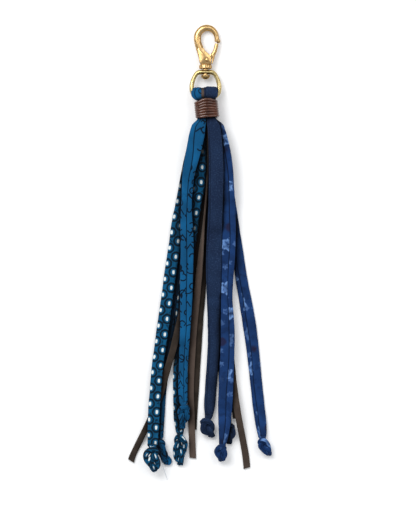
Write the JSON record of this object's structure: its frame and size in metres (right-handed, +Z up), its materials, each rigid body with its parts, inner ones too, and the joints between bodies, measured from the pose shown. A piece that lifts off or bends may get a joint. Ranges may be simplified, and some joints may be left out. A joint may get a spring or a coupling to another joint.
{
  "type": "tassel bag charm",
  "caption": "Bag tassel: a swivel snap hook and ring carry knotted fabric tubes and flat leather laces, folded over the ring and bound by a wound leather cord.",
  "frame": {"origin": "middle of the footprint of the lying tassel, on the surface it rests on", "axes": "+Z up off the surface, +Y along the tassel towards the snap hook, +X to the right of the side that shows"},
  "size_m": [0.0938, 0.2896, 0.0145],
  "materials": {
    "fabric_teal": "woven cotton, teal blue with thin dark line print",
    "fabric_dots": "woven cotton, teal with dark rings and white dots",
    "fabric_navy": "plain woven cotton, dark navy",
    "fabric_flower": "woven cotton, royal blue with small pale blossoms",
    "lace_leather": "flat suede lace, dark brown",
    "wrap_leather": "round smooth cord, dark reddish brown, soft shine",
    "gold": "pale gold plated, polished"
  },
  "bodies": {
    "tassel": {"fabric_teal": "fabric_teal", "fabric_dots": "fabric_dots", "fabric_navy": "fabric_navy", "fabric_flower": "fabric_flower", "lace_middle": "lace_leather", "lace_left": "lace_leather", "lace_right": "lace_leather", "wrap_cord": "wrap_leather", "ring": "gold"},
    "hook": {"hook_body": "gold", "gate_pin": "gold"},
    "gate": {"gate": "gold"}
  },
  "joints": [
    {"name": "hook_swivel", "type": "hinge", "parent": "tassel", "child": "hook", "pos_m": [0.0038, 0.0977, 0.0063], "axis": [0, 0.996, -0.0892], "continuous": true},
    {"name": "gate_hinge", "type": "hinge", "parent": "hook", "child": "gate", "pos_m": [0.0048, 0.1216, 0.00416], "axis": [0, 0.0892, 0.996], "range_deg": [0, 28], "stiffness_Nm_per_rad": 0.03}
  ]
}
